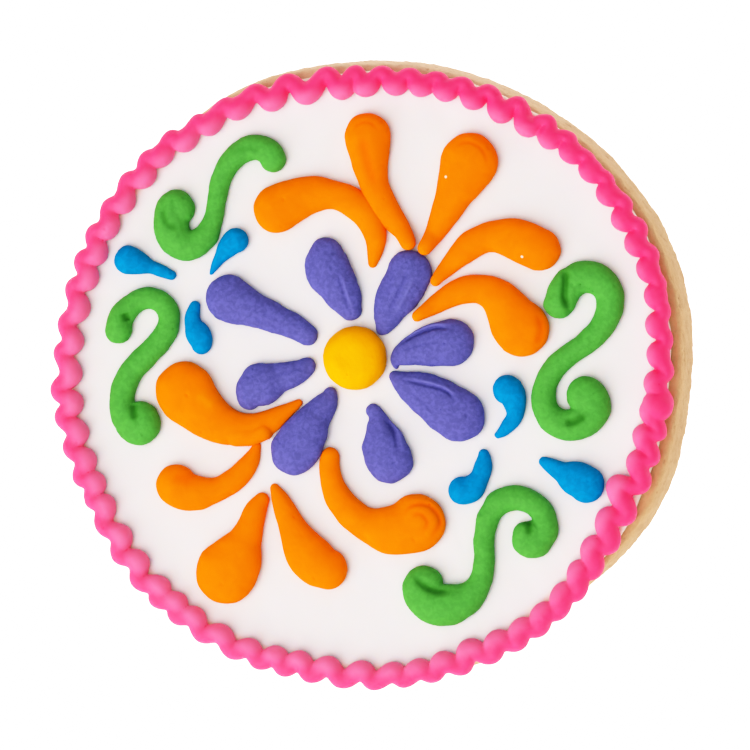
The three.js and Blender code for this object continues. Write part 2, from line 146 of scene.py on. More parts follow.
# Marks left by the piping tip: points of a line, depth (below zero for a ridge), half-width. All in mm. Their grooves
# also get painted shade and their ridges a painted highlight.
MARKS = {
    "petal_4": [([(4.6, 3.9), (7.5, 5.6), (10.2, 6.5), (12.6, 6.4)], 0.26, 0.22), ([(6, 5.4), (9.5, 7.0), (12.2, 7.1)], -0.14, 0.25), ([(5, 3.2), (8, 4.2), (10.5, 4.6)], 0.1, 0.2)],
    "petal_5": [([(5.4, -0.7), (8.5, -1.4), (11.5, -2.2), (13.2, -3.6)], 0.26, 0.22), ([(7, -0.6), (11, -1.5), (13.4, -2.9)], -0.16, 0.26), ([(6, -2), (8, -3.4), (10, -5.2)], 0.1, 0.22)],
    "petal_3": [([(6.6, 15), (5.2, 12), (3.4, 8.4)], 0.2, 0.25), ([(7.4, 14), (6.0, 11), (4.2, 8.2)], -0.12, 0.25), ([(4.2, 14.4), (3.2, 11)], 0.08, 0.22)],
    "petal_2": [([(-3.7, 14.2), (-2.9, 11.4), (-2.1, 8.8)], 0.14, 0.22), ([(-3.2, 14), (-2.4, 11.4), (-1.6, 9)], -0.12, 0.22)],
    "petal_6": [([(2.6, -6.0), (4.2, -8.2), (4.9, -11)], 0.2, 0.28), ([(3.2, -5.8), (5.1, -8.4), (5.8, -11)], -0.12, 0.28)],
    "petal_1": [([(-16, 7.8), (-11, 6.2)], 0.1, 0.35), ([(-15.5, 9.2), (-11.5, 7)], 0.07, 0.25)],
    "petal_8": [([(-15, -1.2), (-11, 0.4), (-8.2, 1)], 0.1, 0.3)],
    "drop_2": [([(-0.2, 34.0), (0.6, 30), (1.8, 26)], 0.16, 0.7), ([(-1.5, 34.5), (-0.5, 35.4), (1.0, 35.4), (2.1, 34.4)], 0.1, 0.28)],
    "drop_3": [([(13.0, 32.0), (14.6, 32.6), (16.3, 32.1), (17.4, 30.9), (17.7, 29.4)], 0.1, 0.28)],
    "drop_10": [
        ([(9.6, -23.2), (10.9, -20.8), (9.6, -18.6), (7.2, -18.3), (5.6, -19.9)], 0.16, 0.3),
        ([(8.4, -22.4), (9.3, -20.7), (8.1, -19.5), (6.8, -20.2)], 0.14, 0.3),
    ],
    "drop_5": [([(24.8, 8.8), (25.3, 6.2), (24.6, 4.2)], 0.14, 0.5)],
    "drop_6": [([(-24, -2.6), (-21.5, -4.8)], -0.12, 0.8)],
    "drop_7": [([(-27.8, -14.4), (-24.8, -15.4)], 0.12, 0.8)],
    "scroll_1": [
        ([(-26.6, 20.9), (-28.0, 21.0), (-29.0, 22.2), (-29.1, 24.2)], 0.28, 0.5),
        ([(-27.8, 25), (-27.6, 23)], 0.1, 0.3),
        ([(-18.6, 31.6), (-16.4, 32), (-14.8, 31.2)], 0.15, 0.5),
    ],
    "scroll_2": [([(-35.0, 8.7), (-34.5, 7.3)], 0.45, 0.6), ([(-33.8, -4.2), (-33.2, -6.8)], 0.4, 0.55)],
    "scroll_3": [([(28.6, 15.0), (28.7, 13.2), (28.6, 11), (29.2, 8.8)], 0.5, 0.5), ([(28.4, -6.6), (30.2, -6.4), (31.8, -5.2)], 0.42, 0.55)],
    "scroll_4": [([(22.4, -20.0), (23.5, -20.9), (23.6, -22.6)], 0.4, 0.45), ([(7.2, -28.2), (8.2, -29.4), (10.2, -30.4), (12.8, -30.4)], 0.36, 0.5)],
}
SPECKS = {"drop_3": [(11.8, 27.7)], "drop_4": [(22.6, 16.5)]}  # grains of white sugar stuck to the icing
SURFACE = {  # broad lumps, fine grain (rms, mm), pits a square mm
    "orange": (0.022, 0.003, 0.015),
    "purple": (0.03, 0.01, 0.06),
    "blue": (0.022, 0.005, 0.05),
    "green": (0.028, 0.009, 0.04),
    "yellow": (0.025, 0.005, 0.03),
    "pink": (0.03, 0.005, 0.02),
}


# ---------------------------------------------------------------- helpers
def harmonic(c, angle):
    total = np.full(np.shape(angle), float(c[0]))
    for k in range(1, (len(c) + 1) // 2):
        total = total + c[2 * k - 1] * np.cos(k * angle) + c[2 * k] * np.sin(k * angle)
    return total


def smooth(v, t):
    """A smooth curve through evenly spaced values, at t from 0 to 1"""
    v = np.asarray(v, float)
    ends = np.concatenate([[2 * v[0] - v[1]], v, [2 * v[-1] - v[-2]]])
    x = np.clip(t, 0, 1) * (len(v) - 1)
    i = np.minimum(np.floor(x).astype(int), len(v) - 2)
    f = x - i
    a, b, c, d = ends[i], ends[i + 1], ends[i + 2], ends[i + 3]
    return 0.5 * (2 * b + (c - a) * f + (2 * a - 5 * b + 4 * c - d) * f**2 + (3 * b - a - 3 * c + d) * f**3)


def linear(v, t):
    return np.interp(np.clip(t, 0, 1) * (len(v) - 1), np.arange(len(v)), v)


def waves(seed, wavelength, rms, count=28, stretch=(1.0, 1.0, 1.0)):
    """Seeded smooth noise: a sum of plane waves about one wavelength long"""
    rng = np.random.default_rng(seed)
    d = rng.normal(size=(count, 3))
    d /= np.linalg.norm(d, axis=1, keepdims=True)
    k = d * (TAU / wavelength) * rng.uniform(0.6, 1.5, (count, 1)) / np.asarray(stretch)
    phase = rng.uniform(0, TAU, count)
    gain = rms * math.sqrt(2 / count)

    def at(p):
        out = np.zeros(len(p))
        for i in range(count):
            out += np.sin(p @ k[i] + phase[i])
        return out * gain

    return at


def to_line(px, py, points):
    """Distance in plan from each place to a smooth line through points, and how far along it that is, from 0 to 1"""
    best = np.full(px.shape, 1e9)
    along = np.zeros(px.shape)
    points = np.asarray(points, float)
    t = np.linspace(0, 1, 6 * len(points))
    fine = np.column_stack([smooth(points[:, 0], t), smooth(points[:, 1], t)])
    for i, ((ax, ay), (bx, by)) in enumerate(zip(fine[:-1], fine[1:])):
        dx, dy = bx - ax, by - ay
        f = np.clip(((px - ax) * dx + (py - ay) * dy) / (dx * dx + dy * dy + 1e-12), 0, 1)
        d = np.hypot(px - ax - dx * f, py - ay - dy * f)
        along = np.where(d < best, (i + f) / (len(fine) - 1), along)
        best = np.minimum(best, d)
    return best, along


class Icing:
    """Piped icing kept as a field of signed distances in mm on a grid, then turned into a mesh"""

    FAR = 4.0

    def __init__(self, low, high, cell):
        self.cell = cell
        self.low = np.array([low[0], low[1], Z_TOP - SINK - 3 * cell])
        n = np.ceil((np.array([high[0], high[1], high[2]]) - self.low) / cell).astype(int) + 1
        self.axis = [self.low[i] + cell * np.arange(n[i]) for i in range(3)]
        self.d = np.full(n, self.FAR, np.float32)

    def span(self, i, a, b):
        lo = max(int((a - self.low[i]) / self.cell), 0)
        hi = min(int((b - self.low[i]) / self.cell) + 2, self.d.shape[i])
        return slice(lo, max(hi, lo + 1))

    def bead(self, a, b, margin=0.8, blend=0.0):
        """One short length of bead between two stations (x, y, half-width, height, lift)"""
        ax, ay, aw, ah, az = a
        bx, by, bw, bh, bz = b
        r = max(aw, bw) + margin
        sx = self.span(0, min(ax, bx) - r, max(ax, bx) + r)
        sy = self.span(1, min(ay, by) - r, max(ay, by) + r)
        px = self.axis[0][sx][:, None]
        py = self.axis[1][sy][None, :]
        dx, dy = bx - ax, by - ay
        t = np.clip(((px - ax) * dx + (py - ay) * dy) / (dx * dx + dy * dy + 1e-12), 0, 1)
        w = aw + (bw - aw) * t
        h = ah + (bh - ah) * t
        base = Z_TOP + az + (bz - az) * t
        rho = np.hypot(px - ax - dx * t, py - ay - dy * t) / w
        z = self.axis[2][None, None, :]
        up = z - (base + 0.3 * h)[..., None]
        half = np.where(up > 0, 0.7 * h[..., None], (0.765 * h + np.maximum(base - Z_TOP, 0) * 0.9)[..., None])
        q = np.sqrt(rho[..., None] ** 2 + (up / half) ** 2)
        f = (q - 1) * np.minimum(w, 0.75 * h)[..., None]
        old = self.d[sx, sy]
        if blend:
            k = np.maximum(blend - np.abs(old - f), 0) / blend
            self.d[sx, sy] = np.minimum(old, f) - k * k * blend * 0.25
        else:
            np.minimum(old, f, out=old)

    def mark(self, points, depth, width):
        points = np.asarray(points, float)
        m = 3 * width
        sx = self.span(0, points[:, 0].min() - m, points[:, 0].max() + m)
        sy = self.span(1, points[:, 1].min() - m, points[:, 1].max() + m)
        px, py = self.axis[0][sx][:, None], self.axis[1][sy][None, :]
        away, along = to_line(px + 0 * py, py + 0 * px, points)
        fade = np.clip(np.minimum(along, 1 - along) / 0.22, 0.25, 1)
        rise = np.clip((self.axis[2] - Z_TOP) / 0.8, 0, 1)
        self.d[sx, sy] += (depth * fade * np.exp(-((away / width) ** 2)))[..., None] * rise

    def lumps(self, seed, wavelength, rms):
        near = np.abs(self.d) < 0.9
        i = np.argwhere(near)
        self.d[near] += waves(seed, wavelength, rms)(i * self.cell + self.low).astype(np.float32)

    def surface(self):
        floor = (Z_TOP - SINK) - self.axis[2][None, None, :]
        grid = vdb.FloatGrid(self.FAR)
        grid.copyFromArray(np.ascontiguousarray(np.maximum(self.d, floor), dtype=np.float32))
        points, quads = grid.convertToQuads(0.0)
        points = np.asarray(points, float) * self.cell + self.low
        return points, np.asarray(quads, int)


def largest_only(points, quads):
    """Drops any crumb that came loose from the main surface"""
    label = np.arange(len(points))
    while True:
        low = label[quads].min(axis=1)
        new = label.copy()
        for k in range(4):
            np.minimum.at(new, quads[:, k], low)
        new = new[new]
        if (new == label).all():
            break
        label = new
    values, counts = np.unique(label, return_counts=True)
    keep = label == values[counts.argmax()]
    index = np.cumsum(keep) - 1
    return points[keep], index[quads[keep[quads[:, 0]]]]


def normals_of(points, quads):
    a, b, c, d = (points[quads[:, k]] for k in range(4))
    face = np.cross(c - a, d - b)
    out = np.zeros_like(points)
    for k in range(4):
        for j in range(3):
            out[:, j] += np.bincount(quads[:, k], face[:, j], len(points))
    return out / (np.linalg.norm(out, axis=1, keepdims=True) + 1e-12)


def relax(points, quads, rounds, amount=0.5):
    """Evens out a mesh: each point moves towards the middle of its neighbours"""
    a = quads.ravel()
    b = np.roll(quads, 1, axis=1).ravel()
    count = np.bincount(a, minlength=len(points)) + np.bincount(b, minlength=len(points))
    joined = count > 0
    p = points.copy()
    for _ in range(rounds):
        for j in range(p.shape[1]):
            total = np.bincount(a, p[b, j], len(p)) + np.bincount(b, p[a, j], len(p))
            p[joined, j] += amount * (total[joined] / count[joined] - p[joined, j])
    return p


def hollowness(points, quads, rounds):
    """How far each point lies below the evened-out surface, in mm: above zero in creases, below zero on crests"""
    n = normals_of(points, quads)
    return np.einsum("ij,ij->i", relax(points, quads, rounds) - points, n)


def pits(points, normals, seed, number, depth, size):
    """Depths of small round pits at seeded places of the surface"""
    rng = np.random.default_rng(seed)
    out = np.zeros(len(points))
    for i in rng.integers(0, len(points), number):
        s = size * rng.uniform(0.6, 1.6)
        near = np.abs(points[:, 0] - points[i, 0]) < 3 * s
        idx = np.flatnonzero(near)
        away = np.linalg.norm(points[idx] - points[i], axis=1) / s
        out[idx] += depth * rng.uniform(0.4, 1.2) * np.exp(-(away**2))
    return out


def build(name, points, faces, tones, material, nodes):
    """A mesh object in the part's frame from points in mm of the drawing's frame, with its tones as attributes"""
    mesh = bpy.data.meshes.new(name)
    mesh.from_pydata((points - CENTRE) * MM, [], faces)
    for key, values in tones.items():
        mesh.attributes.new(key, "FLOAT", "POINT").data.foreach_set("value", np.asarray(values, np.float32))
    mesh.shade_smooth()
    mesh.materials.append(material)
    obj = bpy.data.objects.new(name, mesh)
    bpy.context.scene.collection.objects.link(obj)
    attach(obj, "root")
    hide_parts(*nodes)
    return obj


def finish_icing(field, colour, seed):
    """Mesh of a field with fine grain and pits pressed into it, and its tones"""
    points, quads = largest_only(*field.surface())
    points = relax(points, quads, 3, 0.4)
    n = normals_of(points, quads)
    _, grain, pitted = SURFACE[colour]
    free = np.clip((points[:, 2] - Z_TOP + SINK) / 0.3, 0, 1)
    move = waves(seed + 1, 0.75, grain)(points) + waves(seed + 2, 1.5, grain * 0.9)(points)
    area = len(points) * field.cell**2
    move -= pits(points, n, seed + 3, int(area * pitted), 0.11, 0.2)
    points = points + n * (move * free)[:, None]
    # tones for painted light: a painted highlight on the crests, painted shade in the creases, deep hollows and low
    # parts
    tones = {
        "hollow": np.clip(hollowness(points, quads, round(0.27 / field.cell**2)) / 0.12, -1, 1),
        "deep": np.clip(hollowness(points, quads, round(1.2 / field.cell**2)) / 0.35, -1, 1),
        "height": np.clip((points[:, 2] - Z_TOP) / 2.5, 0, 1),
    }
    return points, quads, tones


# ---------------------------------------------------------------- materials
def socket_set(node, name, value):
    node.inputs[name].default_value = value


class Look:
    """A procedural material in object space, in millimetres"""

    def __init__(self, name):
        self.m = bpy.data.materials.new(name)
        self.m.use_nodes = True
        self.nt = self.m.node_tree
        self.nt.nodes.clear()
        self.out = self.add("ShaderNodeOutputMaterial")
        self.p = self.add("ShaderNodeBsdfPrincipled")
        self.link(self.p.outputs["BSDF"], self.out.inputs["Surface"])
        coord = self.add("ShaderNodeTexCoord")
        self.place = self.add("ShaderNodeMapping")
        self.place.inputs["Scale"].default_value = (1000, 1000, 1000)
        self.link(coord.outputs["Object"], self.place.inputs["Vector"])
        self.height = None

    def add(self, kind, **props):
        n = self.nt.nodes.new(kind)
        for k, v in props.items():
            setattr(n, k, v)
        return n

    def link(self, a, b):
        self.nt.links.new(a, b)

    def noise(self, size, detail=2.0, rough=0.5, distort=0.0, offset=(0, 0, 0), stretch=None):
        n = self.add("ShaderNodeTexNoise")
        n.inputs["Scale"].default_value = 1.0 / size
        n.inputs["Detail"].default_value = detail
        n.inputs["Roughness"].default_value = rough
        n.inputs["Distortion"].default_value = distort
        m = self.add("ShaderNodeMapping")
        m.inputs["Location"].default_value = offset
        if stretch:
            m.inputs["Scale"].default_value = stretch
        self.link(self.place.outputs[0], m.inputs["Vector"])
        self.link(m.outputs[0], n.inputs["Vector"])
        return n.outputs["Fac"]

    def voronoi(self, size, offset=(0, 0, 0)):
        n = self.add("ShaderNodeTexVoronoi")
        n.inputs["Scale"].default_value = 1.0 / size
        m = self.add("ShaderNodeMapping")
        m.inputs["Location"].default_value = offset
        self.link(self.place.outputs[0], m.inputs["Vector"])
        self.link(m.outputs[0], n.inputs["Vector"])
        return n.outputs["Distance"]

    def tone(self, key):
        return self.add("ShaderNodeAttribute", attribute_name=key).outputs["Fac"]

    def span(self, value, a, b, c=0.0, d=1.0, soft=True):
        n = self.add("ShaderNodeMapRange", interpolation_type="SMOOTHSTEP" if soft else "LINEAR")
        for k, v in zip(("From Min", "From Max", "To Min", "To Max"), (a, b, c, d)):
            n.inputs[k].default_value = v
        self.link(value, n.inputs["Value"])
        return n.outputs["Result"]

    def math(self, op, a, b):
        n = self.add("ShaderNodeMath", operation=op)
        for i, v in enumerate((a, b)):
            if isinstance(v, (int, float)):
                n.inputs[i].default_value = v
            else:
                self.link(v, n.inputs[i])
        return n.outputs[0]

    def mix(self, factor, a, b):
        n = self.add("ShaderNodeMix", data_type="RGBA")
        self.link(factor, n.inputs["Factor"])
        for key, v in (("A", a), ("B", b)):
            s = next(i for i in n.inputs if i.name == key and i.type == "RGBA")
            if isinstance(v, tuple):
                s.default_value = (*v, 1)
            else:
                self.link(v, s)
        return next(o for o in n.outputs if o.type == "RGBA")

    def colour(self, value):
        self.link(value, self.p.inputs["Base Color"])

    def rough(self, value, low, high):
        self.link(self.span(value, 0.3, 0.7, low, high, False), self.p.inputs["Roughness"])

    def bump(self, value, height_mm, strength=1.0):
        n = self.add("ShaderNodeBump")
        n.inputs["Strength"].default_value = strength
        n.inputs["Distance"].default_value = height_mm * MM
        self.link(value, n.inputs["Height"])
        if self.height is not None:
            self.link(self.height, n.inputs["Normal"])
        self.height = n.outputs["Normal"]
        self.link(self.height, self.p.inputs["Normal"])


def srgb(r, g, b, light=1.0):
    """A colour seen as 0-255 under that much light, as a linear base colour"""

    def one(v):
        v /= 255
        return min((v / 12.92 if v <= 0.04045 else ((v + 0.055) / 1.055) ** 2.4) / light, 1.0)

    return one(r), one(g), one(b)


def icing_look(name, body, painted_crest_light, painted_crease_shade, low, rough=(0.5, 0.6), specular=0.3, grain=0.03, size=0.5, blotch=(0.1, 4.0), scatter=0.14, spread=(1.8, 0.7, 0.45), inner=None, stroke=True):
    """Dried piped icing with blotches and a fine grain, and painted light: a painted highlight on its crests, painted
    shade in its creases, in its deep hollows and low down
    """
    k = Look(name)
    wide = k.noise(blotch[1], 3, 0.55, 0.6)
    fine = k.noise(size, 3, 0.6, 0.2, (7, 3, 1))
    c = k.mix(k.span(wide, 0.35, 0.68), tuple(x * (1 - blotch[0]) for x in body), body)
    # painted highlight on the crests; then painted shade low down and in the deep hollows, in the low colour
    c = k.mix(k.math("MULTIPLY", k.span(k.tone("hollow"), -0.05, -0.8), 0.7), c, painted_crest_light)
    c = k.mix(k.math("MULTIPLY", k.span(k.tone("height"), 0.4, 0.02), 0.6), c, low)
    c = k.mix(k.span(k.tone("deep"), 0.1, 0.85), c, low)
    if inner:
        # painted shade: the border deeper pink on its side away from the lamps
        c = k.mix(k.math("MULTIPLY", k.span(k.tone("far"), 0.1, 1.0), 0.52), c, (0.985, 0.04, 0.19))
        # painted light: the inner lobes lighter, more so on the side towards the lamps
        c = k.mix(k.span(k.tone("inner"), 0.42, 0.9), c, inner)
        # painted light: a lighter pink along the inner edge on the side towards the lamps, lifting its shade
        c = k.mix(k.math("MULTIPLY", k.span(k.tone("near"), 0.45, 0.95), 0.6), c, (0.99, 0.22, 0.41))
    # painted shade in the creases
    c = k.mix(k.span(k.tone("hollow"), 0.2, 0.85 if inner else 1.0), c, painted_crease_shade)
    if stroke:
        # painted shade in the grooves of the marks, and a painted highlight on their ridges
        c = k.mix(k.math("MULTIPLY", k.span(k.tone("mark"), 0.0, 0.4, soft=False), 0.8), c, painted_crease_shade)
        c = k.mix(k.math("MULTIPLY", k.span(k.tone("mark"), 0.0, -0.2, soft=False), 0.9), c, painted_crest_light)
        c = k.mix(k.span(k.tone("speck"), 0.2, 0.9), c, (0.9, 0.8, 0.6))
    k.colour(c)
    k.rough(fine, *rough)
    socket_set(k.p, "Specular IOR Level", specular)
    socket_set(k.p, "Subsurface Weight", scatter)
    socket_set(k.p, "Subsurface Radius", spread)
    socket_set(k.p, "Subsurface Scale", MM)
    k.bump(fine, grain)
    k.bump(k.noise(size * 0.35, 2, 0.6, 0, (1, 9, 4)), grain * 0.5)
    return k.m


# ---------------------------------------------------------------- biscuit
def polar(profile, radius_at, around, seed, rough):
    """A turned shape pushed out of round: rows of (inward, z) from the middle of the underside to the middle of the top"""
    angle = np.arange(around) * TAU / around
    rows = []
    for inward, z in profile:
        r = radius_at(angle) - inward
        rows.append(np.column_stack([r * np.cos(angle), r * np.sin(angle), np.full(around, z)]))
    points = np.concatenate(rows)
    quads = []
    base = np.arange(around)
    nxt = np.roll(base, -1)
    for i in range(len(profile) - 1):
        quads.append(np.column_stack([i * around + base, i * around + nxt, (i + 1) * around + nxt, (i + 1) * around + base]))
    return points, np.concatenate(quads), angle


def curve_through(points, steps):
    """A smooth line of (inward, z) through a few of them"""
    points = np.asarray(points, float)
    t = np.linspace(0, 1, steps)
    return np.column_stack([smooth(points[:, 0], t), smooth(points[:, 1], t)])


def closed_disc(profile, radius_at, around):
    """As polar, with a small fan at each end to close it"""
    points, quads, angle = polar(profile, radius_at, around, 0, 0)
    bottom, top = len(points), len(points) + 1
    z0, z1 = points[0, 2], points[-1, 2]
    points = np.concatenate([points, [[0, 0, z0], [0, 0, z1]]])
    base = np.arange(around)
    nxt = np.roll(base, -1)
    last = (len(profile) - 1) * around
    fans = [(bottom, int(b), int(a)) for a, b in zip(base, nxt)] + [(top, int(last + a), int(last + b)) for a, b in zip(base, nxt)]
    return points, quads, fans, angle


def make_biscuit():
    around = 840
    wall = curve_through([(0.62, 0.0), (0.12, 0.35), (0.0, 1.2), (0.05, 3.0), (0.22, 5.0), (0.5, 6.8), (0.72, 7.6), (1.15, 7.96), (1.7, 8.0)], 58)
    rings_low = [(x, 0.0) for x in (44.0, 36, 28, 20, 14, 10, 7, 5, 3.6, 2.6, 1.9, 1.4, 1.0, 0.8)]
    rings_high = [(x, 8.0) for x in (2.2, 3, 5, 9, 16, 26, 36, 44.0)]
    profile = rings_low + [tuple(p) for p in wall] + rings_high
    points, quads, fans, angle = closed_disc(profile, lambda a: harmonic(BISCUIT_R, a), around)
    n = normals_of(points, quads)
    z = points[:, 2]
    r = np.hypot(points[:, 0], points[:, 1])
    side = np.clip((r - 41.0) / 2.0, 0, 1) * np.clip((44.0 - (44.0 - r) - 30) / 5, 0, 1)
    move = waves(11, 9.0, 0.04)(points) + waves(12, 3.2, 0.045)(points) + waves(13, 1.3, 0.028)(points) + waves(14, 0.7, 0.018)(points)
    on_wall = np.flatnonzero((z > 0.3) & (z < 7.9) & (r > 42))
    dents = np.zeros(len(points))
    rng = np.random.default_rng(15)
    for i in rng.choice(on_wall, 420):
        s = rng.uniform(0.18, 0.5)
        near = on_wall[np.abs(points[on_wall, 2] - z[i]) < 3 * s]
        near = near[np.abs(points[near, 0] - points[i, 0]) < 3 * s]
        away = np.linalg.norm(points[near] - points[i], axis=1) / s
        dents[near] += rng.uniform(0.03, 0.12) * np.exp(-(away**2))
    under = np.clip((0.25 - z) / 0.2, 0, 1) * np.clip(-n[:, 2], 0, 1)
    push = (move - dents) * side * (1 - under) - 0.0
    points = points + n * push[:, None]
    # the underside keeps a flat resting face, with shallow baking marks pressed up into it
    flat = under > 0.5
    marks = np.clip(waves(16, 4.0, 0.05)(points) + waves(17, 1.1, 0.03)(points), 0, 0.2)
    points[flat, 2] = marks[flat] * np.clip((44.5 - r[flat]) / 3, 0, 1)
    points[:, 2] = np.maximum(points[:, 2], 0.0)
    tones = {
        # hollow drives painted shade in the dents and hollows
        "hollow": np.clip((dents - 0.03) / 0.12 + hollowness(points, quads, 6) / 0.1, -1, 1),
        "deep": np.clip(hollowness(points, quads, 30) / 0.2, -1, 1),
        "height": np.clip(z / BISCUIT_T, 0, 1),
        # painted light: the wall paler on the side around 85 degrees, which faces away from the lamps
        "painted_light_side": np.exp(-(((np.degrees(np.arctan2(points[:, 1], points[:, 0])) - 85) / 36) ** 2)),
    }
    faces = [tuple(q) for q in quads.tolist()] + fans
    return points, faces, tones


def biscuit_look():
    k = Look("baked_biscuit")
    crumb = k.noise(0.55, 4, 0.65, 0.3)
    grain = k.noise(0.22, 3, 0.6, 0.2, (4, 8, 2))
    wide = k.noise(3.2, 4, 0.6, 0.8, (2, 2, 7))
    pale = (0.595, 0.465, 0.262)
    tan = (0.545, 0.405, 0.225)
    brown = (0.6, 0.43, 0.225)
    dark = (0.42, 0.25, 0.12)
    c = k.mix(k.span(wide, 0.3, 0.7), tan, pale)
    up = k.math("ADD", k.tone("height"), k.math("MULTIPLY", k.math("SUBTRACT", wide, 0.5), 0.35))
    c = k.mix(k.span(up, 0.55, 1.0), c, brown)
    # painted light: paler on the side of the wall that faces away from the lamps
    c = k.mix(k.math("MULTIPLY", k.tone("painted_light_side"), 0.65), c, (0.76, 0.63, 0.46))
    c = k.mix(k.math("MULTIPLY", k.span(crumb, 0.45, 0.72), 0.22), c, dark)
    c = k.mix(k.math("MULTIPLY", k.span(grain, 0.52, 0.75), 0.25), c, pale)
    # painted shade: darker in the dents and hollows
    c = k.mix(k.math("MULTIPLY", k.span(k.tone("hollow"), 0.15, 0.9), 0.5), c, dark)
    k.colour(c)
    k.rough(crumb, 0.72, 0.92)
    socket_set(k.p, "Specular IOR Level", 0.2)
    socket_set(k.p, "Subsurface Weight", 0.06)
    socket_set(k.p, "Subsurface Radius", (1.2, 0.6, 0.3))
    socket_set(k.p, "Subsurface Scale", MM)
    k.bump(crumb, 0.12)
    k.bump(grain, 0.06)
    return k.m


points, faces, tones = make_biscuit()
build("baked_disc", points, faces, tones, biscuit_look(), ["biscuit"])


# ---------------------------------------------------------------- flooded icing
def icing_radius(a):
    return np.minimum(harmonic(ICING_R, a) - 0.75 - 0.15, harmonic(BISCUIT_R, a) - BISCUIT_TOP_IN - 0.45)


def make_flood():
    around = 640
    edge = curve_through([(0.3, 7.96), (0.05, 8.25), (0.0, 8.6), (0.12, 9.1), (0.45, 9.42), (0.95, 9.5), (1.6, 9.5)], 22)
    inner = [(x, Z_TOP) for x in (2.2, 2.9, *np.arange(3.8, 43.2, 0.95))]
    profile = [(x, 7.96) for x in (43.3, 30, 15, 6, 2, 1.0)] + [tuple(p) for p in edge] + inner
    points, quads, fans, angle = closed_disc(profile, icing_radius, around)
    top = np.clip((points[:, 2] - 8.6) / 0.8, 0, 1)
    relief = waves(21, 14.0, 0.035)(points) + waves(22, 5.0, 0.02)(points) + waves(23, 1.6, 0.006)(points)
    edge_wave = waves(24, 6.0, 0.1)(points)
    out = points[:, :2] / (np.hypot(points[:, 0], points[:, 1])[:, None] + 1e-9)
    near_edge = np.clip((np.hypot(points[:, 0], points[:, 1]) - 41.5) / 1.5, 0, 1)
    points[:, 2] += relief * top - 0.03 * top
    points[:, :2] += out * (edge_wave * near_edge)[:, None]
    thin = np.clip((np.hypot(points[:, 0], points[:, 1]) - icing_radius(np.arctan2(points[:, 1], points[:, 0])) + 1.9) / 1.3, 0, 1)
    tones = {"height": np.clip((points[:, 2] - 8) / 1.5, 0, 1), "thin": thin}
    return points, [tuple(q) for q in quads.tolist()] + fans, tones


def flood_look():
    k = Look("icing_white")
    wide = k.noise(16, 3, 0.5, 0.4)
    fine = k.noise(0.7, 3, 0.55, 0, (3, 1, 5))
    c = k.mix(k.span(wide, 0.35, 0.65), (0.752, 0.818, 0.804), (0.764, 0.834, 0.822))
    c = k.mix(k.math("MULTIPLY", k.span(k.tone("thin"), 0.0, 1.0), 0.75), c, (0.8, 0.68, 0.55))
    c = k.mix(k.span(k.tone("height"), 0.85, 0.1), c, (0.78, 0.66, 0.53))
    k.colour(c)
    k.rough(fine, 0.55, 0.68)
    socket_set(k.p, "Specular IOR Level", 0.2)
    socket_set(k.p, "Subsurface Weight", 0.4)
    socket_set(k.p, "Subsurface Radius", (2.6, 1.8, 1.3))
    socket_set(k.p, "Subsurface Scale", MM)
    k.bump(fine, 0.012)
    k.bump(k.noise(3.5, 2, 0.5, 0.3, (9, 9, 9)), 0.03)
    return k.m


points, faces, tones = make_flood()
build("flooded_icing", points, faces, tones, flood_look(), ["white_icing"])


# ---------------------------------------------------------------- border
def border_path():
    """Stations of the zigzag strand: x, y, half-width, height, lift"""
    turns = np.arange(TURNS)
    even_out = turns * TAU / TURNS
    even_in = (turns + 0.5) * TAU / TURNS
    ahead_out = harmonic(AHEAD_OUT, even_out)
    ahead_in = harmonic(AHEAD_IN, even_in)
    out = harmonic(REACH_OUT, even_out) - 0.25 * np.cos(even_out - 0.6) + 0.13
    inn = harmonic(REACH_IN, even_in) - 0.14 * np.cos(even_in - 0.6) + 0.13
    for k, (d, r) in ODD_OUT.items():
        ahead_out[k] += d
        out[k] += r
    for k, (d, r) in ODD_IN.items():
        ahead_in[k] += d
        inn[k] += r
    angles = np.empty(2 * TURNS)
    reach = np.empty(2 * TURNS)
    angles[0::2] = even_out + np.radians(ahead_out)
    angles[1::2] = even_in + np.radians(ahead_in)
    around = np.degrees(angles)

    def share(middle, half, soft):
        """How much of each turn belongs to a stretch of the border"""
        return 1 / (1 + np.exp((np.abs((around - middle + 180) % 360 - 180) - half) / soft))

    right, lower, rope = share(34, 64, 6), share(258, 26, 6), share(313, 24, 5)
    width = np.array(STRAND_LEFT) + np.zeros((2 * TURNS, 3))
    for part, widths in ((right, STRAND_RIGHT), (lower, STRAND_LOWER), (rope, STRAND_ROPE)):
        width += part[:, None] * (np.array(widths) - width)
    reach[0::2] = out - width[0::2, 0]
    reach[1::2] = inn + width[1::2, 2]
    steps = 12
    stations = []
    for i in range(2 * TURNS):
        j = (i + 1) % (2 * TURNS)
        a0, a1 = angles[i], angles[j] + (TAU if j == 0 else 0)
        for s in range(steps):
            f = s / steps
            ease = 0.5 - 0.5 * math.cos(math.pi * f)
            swing = 0.85 * ease + 0.15 * f
            a = a0 + (a1 - a0) * (f + (0.1 + 0.08 * right[i]) * math.sin(TAU * f) / TAU)
            r = reach[i] + (reach[j] - reach[i]) * swing
            wide_out, leg, wide_in = width[i] + (width[j] - width[i]) * f
            # at the lower right the strands going inwards lie on top, fat; at the left those going outwards
            inwards = i % 2 == 0
            leg += rope[i] * (0.2 if inwards else -0.2)
            near_out, near_in = (math.exp(-((d / 0.4) ** 2)) for d in ((f, 1 - f) if inwards else (1 - f, f)))
            w = leg + (wide_out - leg) * near_out + (wide_in - leg) * near_in
            pile = 0.34 * rope[i] if inwards else 0.16 * math.exp(-(((around[i] % 360 - 155) / 24) ** 2))
            lift = (0.05 + pile) * math.sin(math.pi * f) - 0.28 * (1 - ease if inwards else ease)
            h = BORDER_H * (0.92 + 0.11 * near_in + 0.05 * near_out) - 0.25 * max(lift, 0)
            stations.append((r * math.cos(a), r * math.sin(a), w, h, lift))
    return stations


